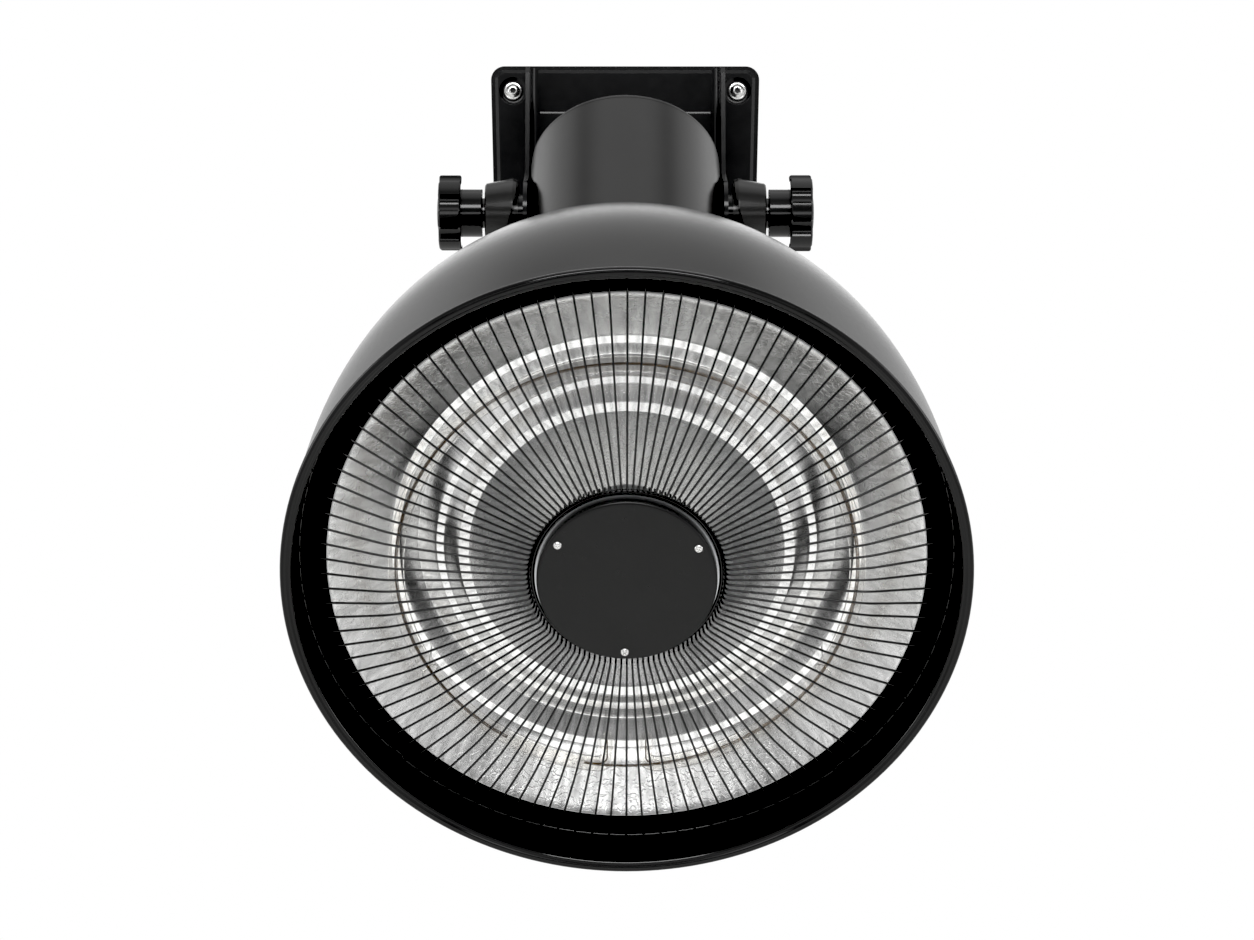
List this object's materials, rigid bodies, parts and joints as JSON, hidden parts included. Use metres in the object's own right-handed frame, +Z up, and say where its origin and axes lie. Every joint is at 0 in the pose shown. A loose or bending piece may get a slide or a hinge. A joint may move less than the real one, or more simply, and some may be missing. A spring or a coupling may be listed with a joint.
{
  "type": "wall-mounted halogen heater",
  "caption": "Round dome heater on an angled neck, held by star knobs in a tilting wall bracket; a radial wire grille covers a ring lamp and a stepped bright reflector.",
  "frame": {"origin": "centre of the four wall screws, on the wall plate's back face", "axes": "+Y into the wall, so the heater stands out towards -Y; +Z up; +X to the right as seen from the front"},
  "size_m": [0.425, 0.5664, 0.5792],
  "materials": {
    "dome_shade": "fine satin black powder coat",
    "rim_bead": "satin black",
    "neck_tube": "fine satin black powder coat",
    "neck_cap": "fine satin black powder coat",
    "cap_tabs": "zinc plated",
    "cap_screws": "plated steel",
    "cable_gland": "matte",
    "gland_nut": "matte",
    "pivot_pads": "satin black",
    "pivot_inserts": "turned steel",
    "reflector_dish": "spun, bright hammered finish",
    "reflector_frame": "matt black",
    "frame_brackets": "zinc plated",
    "heat_shield": "mill finish",
    "shield_spacers": "turned",
    "terminal_block": "unglazed steatite",
    "lamp_tube": "clear fused quartz",
    "lamp_legs": "clear fused quartz",
    "lamp_filament": "heat-tinted wire",
    "lamp_caps": "unglazed steatite",
    "lamp_clips": "bright spring wire",
    "grille_wires": "satin black",
    "grille_outer_ring": "satin black",
    "grille_clips": "satin black",
    "grille_hub_ring": "satin black",
    "hub_plate": "satin black",
    "hub_cap": "satin black",
    "hub_screws": "bright stainless",
    "knob_left": "glossy black",
    "knob_right": "glossy black",
    "stud_left": "zinc plated",
    "stud_right": "zinc plated",
    "washer_left": "zinc plated",
    "washer_right": "zinc plated",
    "wall_plate": "satin black",
    "bracket_channel": "satin black",
    "bracket_knuckles": "satin black",
    "wall_screws": "bright stainless"
  },
  "bodies": {
    "bracket": {"wall_plate": "wall_plate", "bracket_channel": "bracket_channel", "bracket_knuckles": "bracket_knuckles", "wall_screws": "wall_screws"},
    "head": {"dome_shade": "dome_shade", "rim_bead": "rim_bead", "neck_tube": "neck_tube", "neck_cap": "neck_cap", "cap_tabs": "cap_tabs", "cap_screws": "cap_screws", "cable_gland": "cable_gland", "gland_nut": "gland_nut", "pivot_pads": "pivot_pads", "pivot_inserts": "pivot_inserts", "reflector_dish": "reflector_dish", "reflector_frame": "reflector_frame", "frame_brackets": "frame_brackets", "heat_shield": "heat_shield", "shield_spacers": "shield_spacers", "terminal_block": "terminal_block", "lamp_tube": "lamp_tube", "lamp_legs": "lamp_legs", "lamp_filament": "lamp_filament", "lamp_caps": "lamp_caps", "lamp_clips": "lamp_clips", "grille_wires": "grille_wires", "grille_outer_ring": "grille_outer_ring", "grille_clips": "grille_clips", "grille_hub_ring": "grille_hub_ring", "hub_plate": "hub_plate", "hub_cap": "hub_cap", "hub_screws": "hub_screws"},
    "left_washer": {"washer_left": "washer_left"},
    "right_washer": {"washer_right": "washer_right"},
    "left_knob": {"knob_left": "knob_left", "stud_left": "stud_left"},
    "right_knob": {"knob_right": "knob_right", "stud_right": "stud_right"}
  },
  "joints": [
    {"name": "head_tilt", "type": "hinge", "parent": "bracket", "child": "head", "pos_m": [0, -0.098, -0.024], "axis": [1, 0, 0], "range_deg": [-30, 30]},
    {"name": "left_washer_slide", "type": "slide", "parent": "head", "child": "left_washer", "axis": [-1, 0, 0], "range_m": [0, 0.0013]},
    {"name": "left_knob_turn", "type": "hinge", "parent": "left_washer", "child": "left_knob", "pos_m": [0, -0.098, -0.024], "axis": [-1, 0, 0], "range_deg": [0, 360]},
    {"name": "right_washer_slide", "type": "slide", "parent": "head", "child": "right_washer", "axis": [1, 0, 0], "range_m": [0, 0.0013]},
    {"name": "right_knob_turn", "type": "hinge", "parent": "right_washer", "child": "right_knob", "pos_m": [0, -0.098, -0.024], "axis": [1, 0, 0], "range_deg": [0, 360]}
  ],
  "couplings": [
    {"joint": "left_washer_slide", "follows": "left_knob_turn", "m_per_rad": 0.00019894},
    {"joint": "right_washer_slide", "follows": "right_knob_turn", "m_per_rad": 0.00019894}
  ]
}
